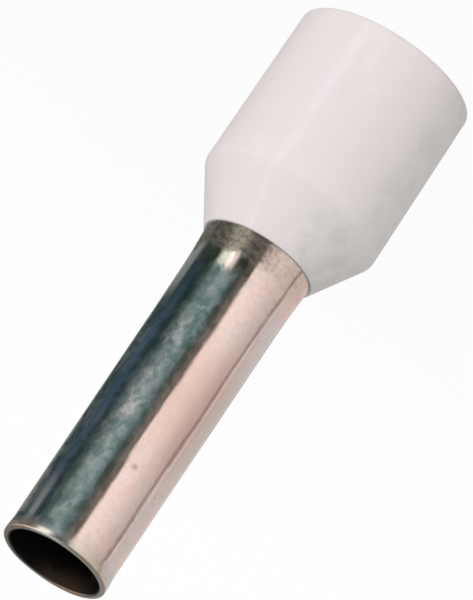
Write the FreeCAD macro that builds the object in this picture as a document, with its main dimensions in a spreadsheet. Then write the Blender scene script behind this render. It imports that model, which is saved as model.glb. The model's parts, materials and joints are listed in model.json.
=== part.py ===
import FreeCAD, Part
import Sketcher
import os

# Insulated wire ferrule, standing on the mouth of its collar.
# The origin is the centre of the mouth plane, and +Z points to the open tip of the metal barrel.
# Two turned and moulded pieces share the axis: the metal barrel, whose flared bell sits inside,
# and the plastic collar that grips it.

# Driving sizes: name, millimetres, what it measures.
SIZES = [
    ("bore_radius", 1.40, "inside of the metal barrel, where the bare strands go"),
    ("barrel_wall", 0.16, "thickness of the metal"),
    ("barrel_length", 10.40, "metal in view, from the collar's front face to the tip"),
    ("collar_length", 6.60, "collar, from its mouth to its front face"),
    ("flare_rise", 0.065, "how much the barrel has widened at the collar's front face"),
    ("flare_length", 0.80, "length of barrel that widens in front of the collar"),
    ("flare_round", 18.0, "radius of the long bend where the widening starts"),
    ("throat_round", 0.60, "radius of the bend between the flare and the bell"),
    ("bell_edge_gap", 0.10, "from the rim of the bell to the wall of the collar"),
    ("bell_edge_round", 0.04, "rounding of the bell's rim"),
    ("lip_rise", 0.025, "height of the slight swelling behind the tip"),
    ("lip_crest", 0.20, "from the tip to the crest of the swelling"),
    ("lip_length", 0.48, "from the tip to the foot of the swelling"),
    ("tip_round", 0.06, "rounding of the tip's outer edge"),
    ("bore_round", 0.04, "rounding of the tip's inner edge"),
    ("insulation_room", 0.74, "how much wider the collar's bore is than the barrel, on the radius"),
    ("mouth_wall", 0.30, "collar wall at the mouth"),
    ("shoulder_wall", 0.35, "collar wall at the shoulder, thicker by the moulding draft"),
    ("cone_wall", 0.30, "collar wall at the cone"),
    ("cone_length", 1.65, "height of the cone, from the shoulder to the front face"),
    ("front_edge", 0.06, "width of plastic round the metal at the front face"),
    ("grip_clearance", 0.01, "between the metal and the plastic that grips it"),
    ("shoulder_round", 0.30, "rounding of the outer shoulder"),
    ("inner_shoulder_round", 0.30, "rounding of the inner shoulder"),
    ("mouth_round", 0.09, "rounding of the mouth's two edges"),
]

# Heights and radii that both pieces take from the driving sizes.
MOUTH_HEIGHT = "0"
BARREL_RADIUS = "(Sizes.bore_radius + Sizes.barrel_wall)"
FRONT_HEIGHT = "Sizes.collar_length"
TIP_HEIGHT = "(Sizes.collar_length + Sizes.barrel_length)"
FLARE_RADIUS = f"({BARREL_RADIUS} + Sizes.flare_rise)"
COLLAR_BORE = f"({BARREL_RADIUS} + Sizes.insulation_room)"
FRONT_RADIUS = f"({FLARE_RADIUS} + Sizes.grip_clearance + Sizes.front_edge)"
SHOULDER_RADIUS = f"({COLLAR_BORE} + Sizes.shoulder_wall)"
SHOULDER_HEIGHT = "(Sizes.collar_length - Sizes.cone_length)"

# Slopes are growth of radius over drop in height. A slant turns a thickness that is square
# to the cone into one that is square to the axis.
FLARE_SLOPE = "(Sizes.flare_rise / Sizes.flare_length)"
CONE_SLOPE = f"(({SHOULDER_RADIUS} - {FRONT_RADIUS}) / Sizes.cone_length)"
CONE_SLANT = f"sqrt(1 + {CONE_SLOPE}^2)"

SHARP = ""


def make_sizes(doc):
    sheet = doc.addObject("Spreadsheet::Sheet", "Sizes")
    for row, (name, value, meaning) in enumerate(SIZES, 1):
        sheet.set(f"A{row}", name)
        sheet.set(f"B{row}", str(value))
        sheet.setAlias(f"B{row}", name)
        sheet.set(f"C{row}", meaning)
    doc.recompute()


def make_body(doc, name):
    body = doc.addObject("PartDesign::Body", name)
    body.Label = name
    body.Placement = FreeCAD.Placement()
    return body


def bind(sketch, name, expression, kind, *geometry):
    """Adds one size to the sketch and binds it to the sheet."""
    value = float(sketch.evalExpression(expression))
    index = sketch.addConstraint(Sketcher.Constraint(kind, *geometry, value))
    sketch.renameConstraint(index, name)
    sketch.setExpression(f"Constraints.{name}", expression)


def middle_of(line):
    return (line.StartPoint + line.EndPoint) / 2


def outline(body, corners):
    """A closed half section in the XZ plane.

    Each corner has a name, a radius, a height and a rounding, all bound to the sheet. The
    roundings are tangent arcs, and the corner itself stays in the sketch as a point.
    """
    sketch = body.newObject("Sketcher::SketchObject", f"{body.Name}_section")
    plane = [item for item in body.Origin.OriginFeatures if item.Role == "XZ_Plane"][0]
    sketch.AttachmentSupport = (plane, [""])
    sketch.MapMode = "FlatFace"
    places = [
        FreeCAD.Vector(float(sketch.evalExpression(radius)), float(sketch.evalExpression(height)), 0)
        for name, radius, height, rounding in corners
    ]
    for start, end in zip(places, places[1:] + places[:1]):
        sketch.addGeometry(Part.LineSegment(start, end), False)
    for line in range(len(corners)):
        following = (line + 1) % len(corners)
        sketch.addConstraint(Sketcher.Constraint("Coincident", line, 2, following, 1))
    for line, (name, radius, height, rounding) in enumerate(corners):
        bind(sketch, f"{name}_radius", radius, "DistanceX", -1, 1, line, 1)
        if height == MOUTH_HEIGHT:
            sketch.addConstraint(Sketcher.Constraint("PointOnObject", line, 1, -1))
        else:
            bind(sketch, f"{name}_height", height, "DistanceY", -1, 1, line, 1)
    for line, (name, radius, height, rounding) in enumerate(corners):
        if rounding == SHARP:
            continue
        before = (line - 1) % len(corners)
        near = [middle_of(sketch.Geometry[side]) for side in (before, line)]
        size = float(sketch.evalExpression(rounding))
        arc = sketch.GeometryCount
        sketch.fillet(before, line, near[0], near[1], size, True, True)
        bind(sketch, f"{name}_round", rounding, "Radius", arc)
    return sketch


def turned(body, corners):
    """The outline turned once round the axis."""
    sketch = outline(body, corners)
    turn = body.newObject("PartDesign::Revolution", f"{body.Name}_turned")
    turn.Profile = sketch
    turn.ReferenceAxis = (sketch, ["V_Axis"])
    turn.Angle = 360
    sketch.Visibility = False


def beside_cone(offset, flare_inset):
    """Radius and height where a line beside the cone meets a line beside the flare.

    The first line lies inside the cone's outer surface by offset, square to it. The second
    lies inside the metal's flare by flare_inset.
    """
    flare_radius = f"({FLARE_RADIUS} - {flare_inset})"
    cone_radius = f"({FRONT_RADIUS} - {offset} * {CONE_SLANT})"
    drop = f"(({flare_radius} - {cone_radius}) / ({CONE_SLOPE} - {FLARE_SLOPE}))"
    return f"{flare_radius} + {FLARE_SLOPE} * {drop}", f"{FRONT_HEIGHT} - {drop}"


def metal_barrel(doc):
    """Thin tube with a slight lip at its tip, a gentle flare and a bell inside the collar."""
    body = make_body(doc, "metal_barrel")
    wall = "Sizes.barrel_wall"
    bell_offset = "(Sizes.cone_wall + Sizes.grip_clearance)"
    bell_radius = f"({COLLAR_BORE} - Sizes.bell_edge_gap)"
    bell_start = f"({FRONT_RADIUS} - {bell_offset} * {CONE_SLANT})"
    bell_height = f"({FRONT_HEIGHT} - ({bell_radius} - {bell_start}) / {CONE_SLOPE})"
    bell_inner_radius = f"{bell_radius} - {wall} / {CONE_SLANT}"
    bell_inner_height = f"{bell_height} - {wall} * {CONE_SLOPE} / {CONE_SLANT}"
    bell_edge = f"min(Sizes.bell_edge_round; {wall} / 3)"
    flare_height = f"({FRONT_HEIGHT} + Sizes.flare_length)"
    lip_radius = f"({BARREL_RADIUS} + Sizes.lip_rise)"
    throat = beside_cone(bell_offset, "0")
    bore_throat = beside_cone(f"({bell_offset} + {wall})", wall)
    corners = [
        ("bore_tip", "Sizes.bore_radius", TIP_HEIGHT, f"min(Sizes.bore_round; {wall} * 0.3)"),
        ("bore_flare", "Sizes.bore_radius", flare_height, f"Sizes.flare_round + {wall}"),
        ("bore_throat", *bore_throat, f"Sizes.throat_round + {wall}"),
        ("bell_inner", bell_inner_radius, bell_inner_height, bell_edge),
        ("bell_outer", bell_radius, bell_height, bell_edge),
        ("throat", *throat, "Sizes.throat_round"),
        ("flare", BARREL_RADIUS, flare_height, "Sizes.flare_round"),
        ("lip_foot", BARREL_RADIUS, f"{TIP_HEIGHT} - Sizes.lip_length", SHARP),
        ("lip_crest", lip_radius, f"{TIP_HEIGHT} - Sizes.lip_crest", SHARP),
        ("tip", lip_radius, TIP_HEIGHT, f"min(Sizes.tip_round; {wall} * 0.6)"),
    ]
    turned(body, corners)
    return body


def insulating_collar(doc):
    """Moulded sleeve: a slightly drafted skirt, a shoulder and a cone that grips the flare."""
    body = make_body(doc, "insulating_collar")
    inner_start = f"({FRONT_RADIUS} - Sizes.cone_wall * {CONE_SLANT})"
    inner_shoulder = f"{FRONT_HEIGHT} - ({COLLAR_BORE} - {inner_start}) / {CONE_SLOPE}"
    mouth_edge = "min(Sizes.mouth_round; Sizes.mouth_wall / 3)"
    grip = beside_cone("Sizes.cone_wall", "(0 - Sizes.grip_clearance)")
    grip_radius = f"{FLARE_RADIUS} + Sizes.grip_clearance"
    corners = [
        ("mouth_outer", f"{COLLAR_BORE} + Sizes.mouth_wall", MOUTH_HEIGHT, mouth_edge),
        ("shoulder", SHOULDER_RADIUS, SHOULDER_HEIGHT, "Sizes.shoulder_round"),
        ("front_outer", FRONT_RADIUS, FRONT_HEIGHT, SHARP),
        ("front_inner", grip_radius, FRONT_HEIGHT, SHARP),
        ("grip", *grip, "Sizes.throat_round - Sizes.grip_clearance"),
        ("inner_shoulder", COLLAR_BORE, inner_shoulder, "Sizes.inner_shoulder_round"),
        ("mouth_inner", COLLAR_BORE, MOUTH_HEIGHT, mouth_edge),
    ]
    turned(body, corners)
    return body


def check(doc, bodies):
    """Stops before anything is written if a feature failed or a piece isn't a sound solid."""
    for item in doc.Objects:
        if "Invalid" in item.State or "Error" in item.State:
            raise RuntimeError(f"{item.Name} failed: {item.State}")
    for body in bodies:
        shape = body.Shape
        if shape.isNull() or not shape.isValid() or len(shape.Solids) != 1:
            raise RuntimeError(f"{body.Label} isn't one valid solid")


def main():
    doc = FreeCAD.newDocument("wire_ferrule")
    make_sizes(doc)
    bodies = [metal_barrel(doc), insulating_collar(doc)]
    doc.recompute()
    check(doc, bodies)
    os.makedirs("parts", exist_ok=True)
    for body in bodies:
        body.Shape.exportStep(f"parts/{body.Label}.step")
        box = body.Shape.optimalBoundingBox(True, False)
        print(
            f"{body.Label}: {body.Shape.Volume:.3f} mm3, radius {box.XMax:.3f},"
            f" height {box.ZMin:.3f} to {box.ZMax:.3f}"
        )


main()
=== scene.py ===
"""Looks of an insulated wire ferrule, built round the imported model.

Lengths are in metres, and in millimetres inside the materials.
"""
import json
import math

import bmesh
import bpy
from mathutils import Matrix, Vector, noise


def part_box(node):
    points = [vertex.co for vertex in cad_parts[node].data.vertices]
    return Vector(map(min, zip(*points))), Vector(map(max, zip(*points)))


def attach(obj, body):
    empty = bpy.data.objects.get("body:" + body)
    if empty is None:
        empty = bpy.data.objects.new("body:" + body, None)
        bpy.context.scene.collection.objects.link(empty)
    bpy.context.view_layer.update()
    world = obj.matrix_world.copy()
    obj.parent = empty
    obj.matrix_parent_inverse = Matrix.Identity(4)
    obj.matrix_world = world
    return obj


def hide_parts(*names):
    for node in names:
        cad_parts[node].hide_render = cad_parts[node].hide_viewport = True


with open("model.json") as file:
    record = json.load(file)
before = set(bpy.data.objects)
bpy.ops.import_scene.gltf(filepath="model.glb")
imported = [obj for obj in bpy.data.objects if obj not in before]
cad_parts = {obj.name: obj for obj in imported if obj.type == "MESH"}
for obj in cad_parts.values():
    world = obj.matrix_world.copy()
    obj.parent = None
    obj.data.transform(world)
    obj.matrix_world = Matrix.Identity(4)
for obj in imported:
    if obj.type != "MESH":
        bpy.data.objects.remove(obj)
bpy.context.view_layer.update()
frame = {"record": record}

MM = 0.001

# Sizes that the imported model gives.
mounts = {mount["name"]: mount["dims"] for mount in frame["record"]["mounts"]}
bore_radius = mounts["barrel_bore"]["r_mm"] * MM
barrel_radius = mounts["barrel_outside"]["r_mm"] * MM
collar_bore = mounts["collar_mouth"]["r_mm"] * MM
tip_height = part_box("metal_barrel")[1].z
front_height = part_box("insulating_collar")[1].z
barrel_wall = barrel_radius - bore_radius

# Sizes of the section that no box or mount gives, the same as in the model.
flare_rise = 0.065 * MM
flare_length = 0.80 * MM
flare_round = 18.0 * MM
throat_round = 0.60 * MM
bell_edge_gap = 0.10 * MM
bell_edge_round = 0.04 * MM
lip_rise = 0.025 * MM
lip_crest = 0.20 * MM
lip_length = 0.48 * MM
tip_round = 0.06 * MM
bore_round = 0.04 * MM
mouth_wall = 0.30 * MM
shoulder_wall = 0.35 * MM
cone_wall = 0.30 * MM
cone_length = 1.65 * MM
front_edge = 0.06 * MM
grip_clearance = 0.01 * MM
shoulder_round = 0.30 * MM
inner_shoulder_round = 0.30 * MM
mouth_round = 0.09 * MM

flare_radius = barrel_radius + flare_rise
front_radius = flare_radius + grip_clearance + front_edge
shoulder_radius = collar_bore + shoulder_wall
shoulder_height = front_height - cone_length
flare_slope = flare_rise / flare_length
cone_slope = (shoulder_radius - front_radius) / cone_length
cone_slant = math.hypot(1, cone_slope)

# How finely a turned piece is divided.
AROUND = 240
SAME_PLACE = 1e-7
LONG_BEND_STEPS = 14
BEND_STEPS = 8
EDGE_STEPS = 6
CUT_SPACING = 0.4 * MM
CONE_CUT_SPACING = 0.3 * MM

# The camera looks down on the mouth's plane by this angle.
CAMERA_ELEVATION = math.radians(20.7)


# Turned pieces.

def beside_cone(offset, flare_inset):
    """Radius and height where a line beside the cone meets a line beside the flare."""
    flare_line = flare_radius - flare_inset
    cone_line = front_radius - offset * cone_slant
    drop = (flare_line - cone_line) / (cone_slope - flare_slope)
    return flare_line + flare_slope * drop, front_height - drop


def turn_between(before, corner, after):
    """Angle by which the outline turns at a corner."""
    first = Vector(corner[:2]) - Vector(before[:2])
    second = Vector(after[:2]) - Vector(corner[:2])
    return first.angle(second)


def ring_edges(mesh, radius, height):
    """The edges of one ring of a turned mesh."""
    on_ring = {
        vert for vert in mesh.verts
        if abs(vert.co.xy.length - radius) < SAME_PLACE and abs(vert.co.z - height) < SAME_PLACE
    }
    return [edge for edge in mesh.edges if on_ring.issuperset(edge.verts)]


def turned_mesh(corners, cuts):
    """Turns a closed outline round the axis, rounds its rings and cuts its long stretches.

    A corner has a radius, a height, a rounding and the steps of that rounding.
    """
    mesh = bmesh.new()
    verts = [mesh.verts.new((radius, 0, height)) for radius, height, rounding, steps in corners]
    edges = [mesh.edges.new(pair) for pair in zip(verts, verts[1:] + verts[:1])]
    bmesh.ops.spin(
        mesh, geom=verts + edges, cent=(0, 0, 0), axis=(0, 0, 1),
        angle=math.tau, steps=AROUND, use_merge=True,
    )
    bmesh.ops.remove_doubles(mesh, verts=mesh.verts[:], dist=SAME_PLACE)
    bmesh.ops.recalc_face_normals(mesh, faces=mesh.faces[:])
    for number, corner in enumerate(corners):
        radius, height, rounding, steps = corner
        turn = turn_between(corners[number - 1], corner, corners[(number + 1) % len(corners)])
        bmesh.ops.bevel(
            mesh, geom=ring_edges(mesh, radius, height), offset=rounding * math.tan(turn / 2),
            offset_type="OFFSET", affect="EDGES", segments=steps, profile=0.5, material=-1,
            clamp_overlap=True,
        )
    for height in cuts:
        bmesh.ops.bisect_plane(
            mesh, geom=mesh.verts[:] + mesh.edges[:] + mesh.faces[:], dist=SAME_PLACE,
            plane_co=(0, 0, height), plane_no=(0, 0, 1),
        )
    return mesh


def spaced(low, high, step):
    """Heights between two limits, about a step apart."""
    count = max(1, round((high - low) / step))
    return [low + (high - low) * number / count for number in range(1, count)]


def mark_edges(mesh, places, reach):
    """Stores how near each vertex lies to an edge that rubs, from 0 to 1."""
    layer = mesh.verts.layers.float.new("edge_nearness")
    for vert in mesh.verts:
        section = Vector((vert.co.xy.length, vert.co.z))
        nearest = min((section - Vector(place[:2])).length for place in places)
        vert[layer] = max(0.0, 1.0 - nearest / reach)


def make_rim_uneven(mesh, height, reach, depth):
    """Presses the rim of a cut tube in by a few micrometres, unevenly, as shearing leaves it."""
    waves_per_metre = 1.1 / MM
    for vert in mesh.verts:
        nearness = 1.0 - (height - vert.co.z) / reach
        if nearness > 0:
            wave = max(0.0, noise.noise(vert.co * waves_per_metre))
            vert.co.z -= depth * wave * nearness


def finish_piece(mesh, name, node, material):
    """Makes a smooth piece of the mesh, which stands for a node of the model."""
    data = bpy.data.meshes.new(name)
    mesh.to_mesh(data)
    mesh.free()
    data.shade_smooth()
    data.materials.append(material)
    piece = bpy.data.objects.new(name, data)
    bpy.context.scene.collection.objects.link(piece)
    shading = piece.modifiers.new("even_shading", "WEIGHTED_NORMAL")
    shading.mode = "FACE_AREA"
    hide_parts(node)
    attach(piece, "root")


# Metal barrel.

def barrel_piece(material):
    """The thin tube, with its lip and rim at the tip, its flare and the bell inside the collar."""
    bell_offset = cone_wall + grip_clearance
    bell_radius = collar_bore - bell_edge_gap
    bell_start = front_radius - bell_offset * cone_slant
    bell_height = front_height - (bell_radius - bell_start) / cone_slope
    bell_inner_radius = bell_radius - barrel_wall / cone_slant
    bell_inner_height = bell_height - barrel_wall * cone_slope / cone_slant
    flare_height = front_height + flare_length
    lip_radius = barrel_radius + lip_rise
    lip_foot_round = 2 * lip_length
    lip_crest_round = 2 * lip_crest
    throat = beside_cone(bell_offset, 0)
    bore_throat = beside_cone(bell_offset + barrel_wall, barrel_wall)
    corners = [
        (bore_radius, tip_height, bore_round, EDGE_STEPS),
        (bore_radius, flare_height, flare_round + barrel_wall, LONG_BEND_STEPS),
        (*bore_throat, throat_round + barrel_wall, BEND_STEPS),
        (bell_inner_radius, bell_inner_height, bell_edge_round, EDGE_STEPS),
        (bell_radius, bell_height, bell_edge_round, EDGE_STEPS),
        (*throat, throat_round, BEND_STEPS),
        (barrel_radius, flare_height, flare_round, LONG_BEND_STEPS),
        (barrel_radius, tip_height - lip_length, lip_foot_round, EDGE_STEPS),
        (lip_radius, tip_height - lip_crest, lip_crest_round, EDGE_STEPS),
        (lip_radius, tip_height, tip_round, EDGE_STEPS),
    ]
    flare_reach = flare_round * math.tan(math.atan(flare_slope) / 2)
    plain_start = flare_height + flare_reach
    plain_end = tip_height - lip_length
    mesh = turned_mesh(corners, spaced(plain_start, plain_end, CUT_SPACING))
    bore_tip, bell_inner, bell_outer, tip = (corners[number] for number in (0, 3, 4, 9))
    mark_edges(mesh, [bore_tip, bell_inner, bell_outer, tip], reach=0.24 * MM)
    make_rim_uneven(mesh, tip_height, reach=0.2 * MM, depth=0.02 * MM)
    finish_piece(mesh, "ferrule_barrel", "metal_barrel", material)


# Plastic collar.

def collar_piece(material):
    """The moulded sleeve, with its mouth, skirt, shoulder, cone and the throat round the metal."""
    inner_start = front_radius - cone_wall * cone_slant
    inner_shoulder = front_height - (collar_bore - inner_start) / cone_slope
    grip = beside_cone(cone_wall, -grip_clearance)
    front_outer_round = 0.8 * front_edge
    front_inner_round = 0.05 * front_edge
    visible_gap = 0.2 * grip_clearance
    corners = [
        (collar_bore + mouth_wall, 0, mouth_round, EDGE_STEPS),
        (shoulder_radius, shoulder_height, shoulder_round, BEND_STEPS),
        (front_radius, front_height, front_outer_round, EDGE_STEPS),
        (flare_radius + visible_gap, front_height, front_inner_round, EDGE_STEPS),
        (*grip, throat_round - grip_clearance, BEND_STEPS),
        (collar_bore, inner_shoulder, inner_shoulder_round, BEND_STEPS),
        (collar_bore, 0, mouth_round, EDGE_STEPS),
    ]
    skirt_end = shoulder_height - shoulder_round
    skirt_cuts = spaced(mouth_round, skirt_end, CUT_SPACING)
    cone_cuts = spaced(shoulder_height, front_height, CONE_CUT_SPACING)
    mesh = turned_mesh(corners, skirt_cuts + cone_cuts)
    mouth_outer, shoulder, front_outer, mouth_inner = (corners[number] for number in (0, 1, 2, 6))
    mark_edges(mesh, [mouth_outer, shoulder, front_outer, mouth_inner], reach=0.25 * MM)
    finish_piece(mesh, "ferrule_collar", "insulating_collar", material)


# Helpers for node trees.

def feed(tree, socket, value):
    """Links or sets one input."""
    if isinstance(value, bpy.types.NodeSocket):
        tree.links.new(value, socket)
    else:
        socket.default_value = value


def add_node(tree, kind, inputs=(), **settings):
    """Adds a node, with its settings and the values or links of its inputs."""
    made = tree.nodes.new(kind)
    for name, value in settings.items():
        setattr(made, name, value)
    for name, value in dict(inputs).items():
        feed(tree, made.inputs[name], value)
    return made


def add_in_order(tree, kind, sockets, values, **settings):
    """Adds a node whose inputs share names, so that they are fed by number."""
    made = add_node(tree, kind, **settings)
    for number, value in zip(sockets, values):
        feed(tree, made.inputs[number], value)
    return made


def mixed(tree, factor, first, second):
    """A colour between two others."""
    values = (factor, first, second)
    return add_in_order(tree, "ShaderNodeMix", (0, 6, 7), values, data_type="RGBA").outputs[2]


def mixed_value(tree, factor, first, second):
    """A value between two others."""
    values = (factor, first, second)
    return add_in_order(tree, "ShaderNodeMix", (0, 2, 3), values, data_type="FLOAT").outputs[0]


def maths(tree, operation, *values):
    """One step of arithmetic."""
    made = add_in_order(tree, "ShaderNodeMath", range(3), values, operation=operation)
    return made.outputs[0]


def vector_maths(tree, operation, *vectors):
    """A node that works on vectors."""
    return add_in_order(tree, "ShaderNodeVectorMath", range(3), vectors, operation=operation)


def product(tree, first, *others):
    """Masks and shares multiplied together."""
    for other in others:
        first = maths(tree, "MULTIPLY", first, other)
    return first


def strongest(tree, first, *others):
    """The highest of several masks at each place."""
    for other in others:
        first = maths(tree, "MAXIMUM", first, other)
    return first


def summed(tree, base, weighted):
    """A base value and masks, each with its weight."""
    for mask, weight in weighted:
        base = maths(tree, "MULTIPLY_ADD", mask, weight, base)
    return base


def ranged(tree, value, low, high, to_low=0.0, to_high=1.0):
    """A smooth step from one range to another."""
    limits = {
        "Value": value, "From Min": low, "From Max": high, "To Min": to_low, "To Max": to_high,
    }
    made = add_node(tree, "ShaderNodeMapRange", limits, interpolation_type="SMOOTHSTEP")
    return made.outputs["Result"]


def between(tree, value, starts, full, fades, ends):
    """A mask that rises and falls again along a value."""
    rise = ranged(tree, value, starts, full)
    return product(tree, rise, ranged(tree, value, fades, ends, 1.0, 0.0))


def layered(tree, colour, layers):
    """A colour under others. A layer has a mask, the share that it covers and its colour."""
    for mask, share, cover in layers:
        colour = mixed(tree, product(tree, mask, share), colour, cover)
    return colour


def new_group(name, inputs, outputs):
    """An empty shader node group with named inputs and outputs."""
    tree = bpy.data.node_groups.new(name, "ShaderNodeTree")
    kind = "NodeSocketFloat"
    for label, value in inputs:
        socket = tree.interface.new_socket(label, in_out="INPUT", socket_type=kind)
        socket.default_value = value
    for label in outputs:
        tree.interface.new_socket(label, in_out="OUTPUT", socket_type=kind)
    given = tree.nodes.new("NodeGroupInput").outputs
    result = tree.nodes.new("NodeGroupOutput").inputs
    return tree, given, result


def placed(tree, group, **inputs):
    """The outputs of a node group placed in a material with its own values."""
    made = tree.nodes.new("ShaderNodeGroup")
    made.node_tree = group
    for name, value in inputs.items():
        feed(tree, made.inputs[name.replace("_", " ")], value)
    return made.outputs


def bump(tree, layers):
    """A normal that several heights shape together. A layer has a height and its depth in mm."""
    normal = None
    for height, depth in layers:
        inputs = {"Strength": 1.0, "Distance": depth * MM, "Height": height}
        if normal:
            inputs["Normal"] = normal
        normal = add_node(tree, "ShaderNodeBump", inputs).outputs["Normal"]
    return normal


def object_vector(tree):
    """Place on the object, in millimetres."""
    place = tree.nodes.new("ShaderNodeTexCoord").outputs["Object"]
    scaled = vector_maths(tree, "SCALE", place)
    scaled.inputs["Scale"].default_value = 1 / MM
    return scaled.outputs["Vector"]


def object_place(tree):
    """Place on the object in millimetres, as X, Y, Z and the distance from the axis."""
    parts = add_node(tree, "ShaderNodeSeparateXYZ", {"Vector": object_vector(tree)}).outputs
    flat = add_node(tree, "ShaderNodeCombineXYZ", {"X": parts["X"], "Y": parts["Y"]})
    radius = vector_maths(tree, "LENGTH", flat.outputs["Vector"]).outputs["Value"]
    return parts["X"], parts["Y"], parts["Z"], radius


def near_point(tree, point, full, gone):
    """A round soft mask about a point on the object. Its sizes are in millimetres."""
    reach = vector_maths(tree, "DISTANCE", object_vector(tree), point).outputs["Value"]
    return ranged(tree, reach, gone, full)


# Effects that both materials use.

def mottle_group():
    """Soft patches, which can be drawn out along the axis."""
    tree, given, result = new_group(
        "mottle",
        [("Patches per mm", 1.0), ("Drawn out", 1.0), ("Unevenness", 0.6), ("Low", 0.4),
         ("High", 0.6), ("Shift", 0.0)],
        ["Mask", "Raw"],
    )
    parts = add_node(tree, "ShaderNodeSeparateXYZ", {"Vector": object_vector(tree)}).outputs
    along = maths(tree, "DIVIDE", parts["Z"], given["Drawn out"])
    along = maths(tree, "ADD", along, given["Shift"])
    stretched = add_node(
        tree, "ShaderNodeCombineXYZ", {"X": parts["X"], "Y": parts["Y"], "Z": along},
    ).outputs["Vector"]
    pattern = add_node(
        tree, "ShaderNodeTexNoise",
        {
            "Vector": stretched, "Scale": given["Patches per mm"], "Detail": 3.0,
            "Roughness": given["Unevenness"], "Distortion": 0.3,
        },
    ).outputs[0]
    tree.links.new(ranged(tree, pattern, given["Low"], given["High"]), result["Mask"])
    tree.links.new(pattern, result["Raw"])
    return tree


def edge_rub_group(mottle):
    """Where edges have rubbed: the marked edges, broken up by fine patches."""
    tree, given, result = new_group(
        "edge_rub", [("Amount", 1.0), ("Patches per mm", 6.0)], ["Mask"],
    )
    nearness = add_node(tree, "ShaderNodeAttribute", attribute_name="edge_nearness").outputs["Fac"]
    patches = placed(tree, mottle, Low=0.35, High=0.65, Patches_per_mm=given["Patches per mm"])
    rubbed = product(tree, nearness, patches["Mask"], given["Amount"])
    tree.links.new(rubbed, result["Mask"])
    return tree


def ragged_step_group(mottle):
    """A step along a length whose border is broken up by patches."""
    tree, given, result = new_group(
        "ragged_step",
        [("Length mm", 0.0), ("None at mm", 0.0), ("Full at mm", 1.0), ("Raggedness mm", 0.3),
         ("Patches per mm", 2.0), ("Shift", 0.0)],
        ["Mask"],
    )
    patches = placed(
        tree, mottle, Patches_per_mm=given["Patches per mm"], Shift=given["Shift"],
    )
    strayed = maths(tree, "SUBTRACT", patches["Raw"], 0.5)
    moved = maths(tree, "MULTIPLY_ADD", strayed, given["Raggedness mm"], given["Length mm"])
    step = ranged(tree, moved, given["None at mm"], given["Full at mm"])
    tree.links.new(step, result["Mask"])
    return tree


def new_material(name):
    """An empty material with a plain surface shader."""
    material = bpy.data.materials.new(name)
    material.use_nodes = True
    tree = material.node_tree
    tree.nodes.clear()
    output = tree.nodes.new("ShaderNodeOutputMaterial")
    surface = tree.nodes.new("ShaderNodeBsdfPrincipled")
    tree.links.new(surface.outputs["BSDF"], output.inputs["Surface"])
    return material, tree, surface


# Materials. Places are in millimetres: side is along +X, back is along +Y, away from the camera.

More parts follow.
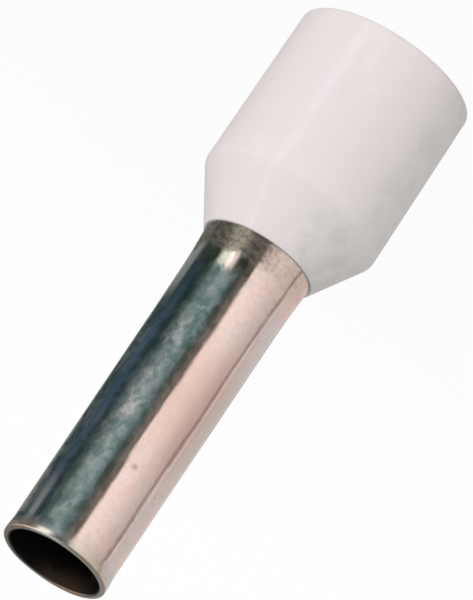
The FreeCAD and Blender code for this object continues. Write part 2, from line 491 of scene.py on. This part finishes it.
def tinned_metal(mottle, edge_rub, ragged_step):
    """Thin bright tin on copper: pink shows through, and it is dark olive beside the collar."""
    material, tree, surface = new_material("tinned_copper")
    tin = (0.86, 0.74, 0.69, 1)
    pink_tin = (0.86, 0.69, 0.63, 1)
    grey_tin = (0.74, 0.70, 0.66, 1)
    hazy_tin = (0.76, 0.77, 0.73, 1)
    rim_tin = (0.80, 0.79, 0.74, 1)
    cloudy_tin = (0.33, 0.40, 0.34, 1)
    purplish_tin = (0.86, 0.66, 0.71, 1)
    warm_tin = (0.74, 0.58, 0.50, 1)
    painted_dark_border = (0.34, 0.28, 0.21, 1)
    dark_olive = (0.28, 0.25, 0.20, 1)
    tarnish = (0.36, 0.38, 0.28, 1)
    dark_speck = (0.14, 0.11, 0.09, 1)
    handled = (0.74, 0.74, 0.68, 1)
    brown_stain = (0.36, 0.25, 0.20, 1)
    olive_stain = (0.62, 0.57, 0.48, 1)
    bare_copper = (0.70, 0.47, 0.36, 1)
    # The bore's two colours are painted: shade deep inside, and light just inside the tip.
    painted_bore_shade = (0.13, 0.125, 0.125, 1)
    painted_bore_light = (0.30, 0.20, 0.145, 1)

    # A span has the four places where its mask starts, is full, starts to fade and ends.
    streak_span = (0.25, 0.45, 0.70, 0.95)
    streak_edge_span = (0.56, 0.72, 0.88, 1.02)
    border_span = (-0.14, -0.02, 0.18, 0.38)
    handled_span = (1.11, 1.20, 1.27, 1.37)
    lit_bore_span = (-1.5, -0.9, -0.1, 0.5)
    warm_span = (9.0, 11.0, 12.2, 14.6)
    brown_spot = (-0.37, -1.517, 14.03)

    side, back, height, radius = object_place(tree)
    clouds = placed(tree, mottle, Patches_per_mm=0.9, Drawn_out=2.2, Low=0.38, High=0.62)
    blotches = placed(
        tree, mottle, Patches_per_mm=2.6, Drawn_out=1.6, Low=0.48, High=0.66, Shift=20,
    )
    grains = placed(
        tree, mottle, Patches_per_mm=4.5, Drawn_out=1.3, Low=0.34, High=0.70, Shift=35,
    )
    haze = placed(
        tree, mottle, Patches_per_mm=1.9, Drawn_out=1.3, Low=0.42, High=0.64, Shift=50,
    )
    specks = placed(
        tree, mottle, Patches_per_mm=4.0, Unevenness=0.5, Low=0.70, High=0.76, Shift=65,
    )
    spots = placed(
        tree, mottle, Patches_per_mm=6.5, Unevenness=0.65, Low=0.43, High=0.60, Shift=95,
    )
    streaks = placed(
        tree, mottle, Patches_per_mm=1.4, Drawn_out=3.0, Unevenness=0.35, Shift=110,
    )
    cloudy = placed(
        tree, mottle, Patches_per_mm=3.2, Drawn_out=1.4, Low=0.42, High=0.60, Shift=130,
    )
    purplish = placed(
        tree, mottle, Patches_per_mm=2.2, Drawn_out=1.3, Low=0.38, High=0.68, Shift=150,
    )
    border_patches = placed(
        tree, mottle, Patches_per_mm=2.4, Drawn_out=1.7, Low=0.40, High=0.60, Shift=170,
    )
    rubbed = placed(tree, edge_rub, Amount=0.15, Patches_per_mm=3.0)["Mask"]

    # Cloudy tin on the +X side, strongest at the front. A streak along it has purplish patches.
    # It is clouded more at its outer edge near both ends. Where it meets the pink tin, brown
    # patches paint the dark line that the reflection has at that border.
    on_plus_x = ranged(tree, side, -0.05, 0.25)
    cloudy_part = product(
        tree, cloudy["Mask"], on_plus_x,
        ranged(tree, height, 11.4, 10.2, 0.72, 0.88),
        ranged(tree, side, 1.05, 1.35, 1.0, 0.4),
        ranged(tree, back, 0.5, -0.3, 0.35, 1.0),
    )
    purplish_part = product(tree, purplish["Mask"], between(tree, side, *streak_span))
    near_ends = strongest(
        tree, ranged(tree, height, 10.4, 9.2), ranged(tree, height, 14.0, 15.0),
    )
    clouded_edge = product(tree, between(tree, side, *streak_edge_span), near_ends)
    painted_border_part = product(tree, border_patches["Mask"], between(tree, side, *border_span))
    warm_part = product(
        tree, between(tree, height, *warm_span), ranged(tree, side, 0.1, -0.2),
    )

    # A ragged dark olive band in front of the collar, duller than the tin, fades towards -X, with
    # tarnish on the +X side.
    near_collar = placed(
        tree, ragged_step, Length_mm=height, None_at_mm=7.50, Full_at_mm=7.22, Raggedness_mm=0.9,
        Patches_per_mm=1.6,
    )["Mask"]
    dark_band = product(tree, near_collar, ranged(tree, side, -0.8, 0.4, 0.12, 1.0))
    up_to_tarnish = placed(
        tree, ragged_step, Length_mm=height, None_at_mm=10.2, Full_at_mm=8.4, Raggedness_mm=2.0,
        Patches_per_mm=0.8, Shift=8,
    )["Mask"]
    tarnished = product(tree, up_to_tarnish, ranged(tree, side, 0.85, 1.15))

    # Dull tin along the +X side, where both ends have been handled.
    at_neck = product(tree, ranged(tree, height, 9.6, 8.4), ranged(tree, side, 1.32, 1.42))
    by_tip = product(
        tree, ranged(tree, height, 14.6, 16.0), between(tree, side, *handled_span),
    )
    dull_side = strongest(tree, at_neck, by_tip)

    # The cut tip is olive on its -X side and brown on its +X side, least so in the middle.
    near_tip = placed(
        tree, ragged_step, Length_mm=height, None_at_mm=16.35, Full_at_mm=16.95,
        Raggedness_mm=1.2, Patches_per_mm=1.3, Shift=12,
    )["Mask"]
    tip_stain = mixed(tree, ranged(tree, side, -0.1, 0.8), olive_stain, brown_stain)
    tip_share = strongest(
        tree, ranged(tree, side, -0.7, 0.2, 0.8, 0.2), ranged(tree, side, 0.75, 1.2, 0.2, 0.9),
    )

    # Painted shade: the bore is coloured nearly black, and a painted pool of brown light lies just
    # inside the tip on the -X side.
    bore_mm = bore_radius / MM
    in_bore = ranged(tree, radius, bore_mm + 0.07, bore_mm + 0.03)
    lit_bore = placed(
        tree, ragged_step, Length_mm=height, None_at_mm=16.2, Full_at_mm=16.9, Raggedness_mm=1.2,
        Patches_per_mm=1.4, Shift=28,
    )["Mask"]
    lit_bore = product(tree, lit_bore, between(tree, side, *lit_bore_span))

    colour = layered(tree, mixed(tree, clouds["Mask"], tin, pink_tin), [
        (grains["Mask"], 0.42, grey_tin),
        (blotches["Mask"], 0.50, grey_tin),
        (spots["Mask"], 0.10, dark_olive),
        (haze["Mask"], 0.25, hazy_tin),
        (cloudy_part, 1.0, cloudy_tin),
        (purplish_part, 0.48, purplish_tin),
        (clouded_edge, 0.75, cloudy_tin),
        # Painted reflection: brown patches along the dark border of the reflection.
        (painted_border_part, 0.62, painted_dark_border),
        (warm_part, 0.7, warm_tin),
        (specks["Mask"], 0.3, dark_speck),
        (near_point(tree, brown_spot, 0.03, 0.14), 0.6, brown_stain),
        (tarnished, 0.8, tarnish),
        (dull_side, 1.0, handled),
        (dark_band, 0.9, dark_olive),
        (product(tree, dark_band, spots["Mask"]), 0.75, dark_speck),
        (ranged(tree, height, 16.62, 16.86), 0.8, rim_tin),
        (near_tip, tip_share, tip_stain),
        (rubbed, 1.0, bare_copper),
        # Painted shade in the bore, with painted light just inside the tip.
        (in_bore, 1.0, mixed(tree, lit_bore, painted_bore_shade, painted_bore_light)),
    ])
    tree.links.new(colour, surface.inputs["Base Color"])

    # Hazy patches on the bright tin and the dull places are rougher.
    patchy = summed(
        tree, 0.0, [(haze["Mask"], 0.20), (grains["Mask"], 0.12), (blotches["Mask"], 0.10)],
    )
    dull = strongest(
        tree, patchy, dark_band, dull_side, product(tree, near_tip, 0.6), in_bore,
    )
    bright_roughness = 0.055
    added_where_dull = 0.24
    roughness = summed(tree, bright_roughness, [(dull, added_where_dull)])
    tree.links.new(roughness, surface.inputs["Roughness"])

    # A thin film that isn't metal lies where the tin is handled, on the dark band beside the
    # collar and at the tip.
    film = strongest(
        tree, product(tree, dark_band, 0.22), product(tree, dull_side, 0.12),
        product(tree, near_tip, ranged(tree, side, 0.7, 1.2, 0.10, 0.26)),
    )
    film = summed(tree, film, [(haze["Mask"], 0.020), (grains["Mask"], 0.015)])
    film = mixed_value(tree, in_bore, film, product(tree, lit_bore, 0.10))
    tree.links.new(maths(tree, "SUBTRACT", 1.0, film), surface.inputs["Metallic"])

    relief = [
        (streaks["Raw"], 0.022), (clouds["Raw"], 0.004), (blotches["Raw"], 0.0016),
        (grains["Raw"], 0.0006),
    ]
    tree.links.new(bump(tree, relief), surface.inputs["Normal"])
    return material


def collar_plastic(mottle, edge_rub, ragged_step):
    """Satin moulded plastic, white with a faint pink tint, a painted highlight line, painted shade
    on its -X side and handling marks.
    """
    material, tree, surface = new_material("white_collar_plastic")
    white = (0.795, 0.742, 0.748, 1)
    warm_white = (0.790, 0.738, 0.730, 1)
    grey_mark = (0.63, 0.625, 0.60, 1)
    pale = (0.86, 0.81, 0.82, 1)
    painted_highlight_line_span = (20, 25, 26, 31.5)
    painted_highlight_line_wander = 5.0

    side, back, height = object_place(tree)[:3]
    clouds = placed(
        tree, mottle, Patches_per_mm=0.5, Drawn_out=1.5, Low=0.35, High=0.65, Shift=30,
    )
    marks = placed(
        tree, mottle, Patches_per_mm=2.2, Drawn_out=1.2, Low=0.60, High=0.78, Shift=60,
    )
    shade_patches = placed(tree, mottle, Patches_per_mm=1.6, Low=0.42, High=0.62, Shift=90)
    scuffs = placed(
        tree, mottle, Patches_per_mm=1.1, Drawn_out=2.4, Low=0.56, High=0.72, Shift=75,
    )
    grain = placed(tree, mottle, Patches_per_mm=12.0)
    rubbed = placed(tree, edge_rub, Amount=0.10, Patches_per_mm=2.0)["Mask"]

    # A painted highlight: a faint pale line along the collar, a little towards +X from the
    # camera's side, that stands for a window's reflection. Its span is in degrees.
    around = maths(tree, "ARCTAN2", side, product(tree, back, -1.0))
    wander = placed(tree, mottle, Patches_per_mm=1.5, Drawn_out=1.5, Shift=15)["Raw"]
    azimuth = summed(tree, product(tree, wander, painted_highlight_line_wander), [(around, math.degrees(1))])
    painted_highlight_line = product(
        tree, between(tree, azimuth, *painted_highlight_line_span),
        ranged(tree, wander, 0.35, 0.62, 0.15, 1.0),
    )

    # Painted shade: grey on the -X side of the cone and down the -X side, away from the key lamp,
    # in patches.
    on_cone = placed(
        tree, ragged_step, Length_mm=height, None_at_mm=4.7, Full_at_mm=5.5, Raggedness_mm=1.5,
        Patches_per_mm=0.8, Shift=5,
    )["Mask"]
    painted_shade_side = strongest(
        tree, product(tree, on_cone, ranged(tree, side, -0.1, -1.1)),
        ranged(tree, side, -1.3, -2.1, 0.0, 0.7),
    )

    colour = layered(tree, mixed(tree, clouds["Mask"], white, warm_white), [
        # Painted highlight: a pale line along the collar.
        (painted_highlight_line, 0.6, pale),
        (scuffs["Mask"], 0.35, pale),
        (marks["Mask"], 0.15, grey_mark),
        # Painted shade on the -X side, in patches.
        (painted_shade_side, summed(tree, 0.2, [(shade_patches["Mask"], 0.45)]), grey_mark),
        (rubbed, 1.0, pale),
    ])
    tree.links.new(colour, surface.inputs["Base Color"])

    satin = ranged(tree, clouds["Raw"], 0.3, 0.7, 0.52, 0.62)
    roughness = summed(tree, satin, [(scuffs["Mask"], 0.12)])
    tree.links.new(roughness, surface.inputs["Roughness"])
    surface.inputs["IOR"].default_value = 1.44
    relief = [(clouds["Raw"], 0.020), (scuffs["Raw"], 0.006), (grain["Raw"], 0.0010)]
    tree.links.new(bump(tree, relief), surface.inputs["Normal"])
    return material


# Camera.

def add_camera():
    """The photo's view: the tip points down to the left and towards the viewer."""
    roll = math.radians(146.15)
    distance = 0.6
    pixels_per_metre = 37.44 / MM
    picture_pixels = 600
    aim_offset = Vector((0.430, 0.3760)) * MM

    back = Vector((0, -math.cos(CAMERA_ELEVATION), math.sin(CAMERA_ELEVATION)))
    level_right = Vector((1, 0, 0))
    level_up = Vector((0, math.sin(CAMERA_ELEVATION), math.cos(CAMERA_ELEVATION)))
    right = math.cos(roll) * level_right - math.sin(roll) * level_up
    up = math.sin(roll) * level_right + math.cos(roll) * level_up
    target = Vector((0, 0, tip_height / 2)) + right * aim_offset.x + up * aim_offset.y

    data = bpy.data.cameras.new("photo_camera")
    data.sensor_width = 36.0
    data.lens = data.sensor_width * distance * pixels_per_metre / picture_pixels
    data.clip_start = 0.01
    data.clip_end = 10.0
    camera = bpy.data.objects.new("photo_camera", data)
    turn = Matrix((right, up, back)).transposed()
    camera.matrix_world = Matrix.Translation(target + back * distance) @ turn.to_4x4()
    bpy.context.scene.collection.objects.link(camera)
    bpy.context.scene.camera = camera


# Light and surroundings. Azimuth 0 is the camera's side and 90 lies along +X, in degrees.

def direction(azimuth, elevation):
    """The direction from the ferrule to a place round it."""
    around, above = math.radians(azimuth), math.radians(elevation)
    return Vector((
        math.sin(around) * math.cos(above), -math.cos(around) * math.cos(above), math.sin(above),
    ))


def add_lamp(name, azimuth, elevation, level, colour):
    """A wide low lamp aimed at the ferrule. Level 1 lights a white surface that faces it fully."""
    distance = 0.25
    data = bpy.data.lights.new(name, "AREA")
    data.shape = "RECTANGLE"
    data.size = 0.16
    data.size_y = 0.04
    data.color = colour
    data.energy = level * (math.pi * distance) ** 2
    lamp = bpy.data.objects.new(name, data)
    outward = direction(azimuth, elevation)
    lamp.location = Vector((0, 0, tip_height / 2)) + outward * distance
    lamp.rotation_mode = "QUATERNION"
    lamp.rotation_quaternion = outward.to_track_quat("Z", "Y")
    lamp.visible_glossy = False
    bpy.context.scene.collection.objects.link(lamp)


# Where a card that runs on to the end of the circle starts and ends.
FROM_FIRST = (-401, -400)
TO_LAST = (400, 401)


def ring_of_cards(tree, azimuth, room, cards):
    """What stands round the ferrule. A card has four azimuths and a colour: it starts, is full,
    starts to fade and ends there, and it covers the cards before it."""
    colour = (*room, 1)
    for starts, full, fades, ends, card in cards:
        shown = between(tree, azimuth, starts, full, fades, ends)
        colour = mixed(tree, shown, colour, (*card, 1))
    return colour


def add_world():
    """White for the camera, plain soft light for surfaces, and cards for reflections."""
    world = bpy.data.worlds.new("studio")
    bpy.context.scene.world = world
    world.use_nodes = True
    tree = world.node_tree
    tree.nodes.clear()
    toward = tree.nodes.new("ShaderNodeTexCoord").outputs["Generated"]
    parts = add_node(tree, "ShaderNodeSeparateXYZ", {"Vector": toward}).outputs
    rise = parts["Z"]
    around = maths(tree, "ARCTAN2", parts["X"], product(tree, parts["Y"], -1.0))
    azimuth = product(tree, around, math.degrees(1))

    # Slope of an upright wall of the ferrule that mirrors this direction to the camera.
    least_half_turn = 0.15
    half_turn = maths(tree, "COSINE", product(tree, around, 0.5))
    half_turn = strongest(tree, half_turn, least_half_turn)
    climb = maths(tree, "ADD", rise, math.sin(CAMERA_ELEVATION))
    reach = product(tree, half_turn, 2 * math.cos(CAMERA_ELEVATION))
    slope = maths(tree, "DIVIDE", climb, reach)

    # The plain tube mirrors the level cards, and the flare and the lip mirror the raised ones.
    dark_room = (0.025, 0.053, 0.067)
    level_cards = ring_of_cards(tree, azimuth, dark_room, [
        (84, 103, 109, 128, (0.046, 0.094, 0.152)),
        (-2, 36, 37, 90, (0.265, 0.39, 0.42)),
        (-14, -4, 1, 15, (0.205, 0.200, 0.180)),
        (*FROM_FIRST, -112, -92, (0.67, 0.65, 0.67)),
        (-112, -98, -13.5, -4, (0.79, 0.71, 0.71)),
        (-97, -83, -13.5, -4, (0.61, 0.52, 0.51)),
        (-94, -14, -13.5, -4, (1.11, 0.99, 0.975)),
        (-96, -91.5, -88.5, -82, (0.38, 0.32, 0.31)),
        (154, 172, *TO_LAST, (0.60, 0.60, 0.62)),
        (*FROM_FIRST, -172, -159, (0.30, 0.29, 0.29)),
    ])
    olive_room = (0.045, 0.055, 0.038)
    raised_cards = ring_of_cards(tree, azimuth, olive_room, [
        (26, 44, 56, 76, (1.78, 1.70, 1.60)),
        (-14, -5, 4, 14, (0.075, 0.075, 0.050)),
        (*FROM_FIRST, -9, -5, (0.74, 0.64, 0.60)),
        (-75, -22, -9, -5, (0.96, 0.84, 0.79)),
        (-95, -91, -88.5, -84, (0.36, 0.31, 0.28)),
        (106, 130, *TO_LAST, (0.26, 0.29, 0.27)),
    ])
    mirrored = mixed(tree, ranged(tree, slope, 0.014, 0.027), level_cards, raised_cards)

    # Above them hangs a dim ceiling, into which only the window reaches.
    near_ceiling = (0.17, 0.18, 0.15, 1)
    far_ceiling = (0.27, 0.275, 0.27, 1)
    window = (1.20, 1.30, 1.26, 1)
    ceiling = mixed(tree, ranged(tree, parts["Y"], -0.1, 0.6), near_ceiling, far_ceiling)
    ceiling = mixed(tree, between(tree, azimuth, 36, 50, 115, 140), ceiling, window)
    mirrored = mixed(tree, ranged(tree, rise, -0.15, 0.0), mirrored, ceiling)

    # Surfaces get soft light that is weaker from above.
    level_light = (1.01, 1.025, 1.01, 1)
    light_from_above = (0.46, 0.467, 0.46, 1)
    ambient = mixed(tree, ranged(tree, rise, 0.0, 1.0), level_light, light_from_above)

    white = (1, 1, 1, 1)
    rays = tree.nodes.new("ShaderNodeLightPath").outputs
    colour = mixed(tree, rays["Is Glossy Ray"], ambient, mirrored)
    seen = strongest(tree, rays["Is Camera Ray"], rays["Is Transmission Ray"])
    colour = mixed(tree, seen, colour, white)
    background = add_node(tree, "ShaderNodeBackground", {"Color": colour, "Strength": 1.0})
    output = tree.nodes.new("ShaderNodeOutputWorld")
    tree.links.new(background.outputs["Background"], output.inputs["Surface"])


def floor_material():
    """Pale, and all but white to the camera: whiter still far from the ferrule."""
    material = bpy.data.materials.new("pale_floor")
    material.use_nodes = True
    tree = material.node_tree
    tree.nodes.clear()
    pale = add_node(tree, "ShaderNodeBsdfDiffuse", {"Color": (0.88, 0.88, 0.88, 1)})
    glow = add_node(tree, "ShaderNodeEmission", {"Color": (1, 1, 1, 1), "Strength": 1.0})
    distance = object_place(tree)[3]
    white_share = ranged(tree, distance, 8, 40, 0.93, 0.985)
    rays = tree.nodes.new("ShaderNodeLightPath").outputs
    shown_white = product(tree, rays["Is Camera Ray"], white_share)
    shaders = (shown_white, pale.outputs["BSDF"], glow.outputs["Emission"])
    both = add_in_order(tree, "ShaderNodeMixShader", range(3), shaders)
    output = tree.nodes.new("ShaderNodeOutputMaterial")
    tree.links.new(both.outputs["Shader"], output.inputs["Surface"])
    return material


def add_floor():
    """A plain floor just below the ferrule, which keeps its shadow."""
    floor_size = 3.0
    gap = 0.02 * MM
    mesh = bmesh.new()
    bmesh.ops.create_grid(mesh, x_segments=1, y_segments=1, size=floor_size / 2)
    bmesh.ops.translate(mesh, verts=mesh.verts[:], vec=(0, 0, -gap))
    data = bpy.data.meshes.new("floor")
    mesh.to_mesh(data)
    mesh.free()
    data.materials.append(floor_material())
    floor = bpy.data.objects.new("floor", data)
    floor.visible_glossy = False
    bpy.context.scene.collection.objects.link(floor)


mottle = mottle_group()
edge_rub = edge_rub_group(mottle)
ragged_step = ragged_step_group(mottle)
barrel_piece(tinned_metal(mottle, edge_rub, ragged_step))
collar_piece(collar_plastic(mottle, edge_rub, ragged_step))
add_camera()
add_world()
add_floor()
add_lamp("key_lamp", azimuth=30, elevation=4.5, level=0.395, colour=(1.0, 0.905, 0.94))
bpy.context.scene.view_settings.view_transform = "Standard"
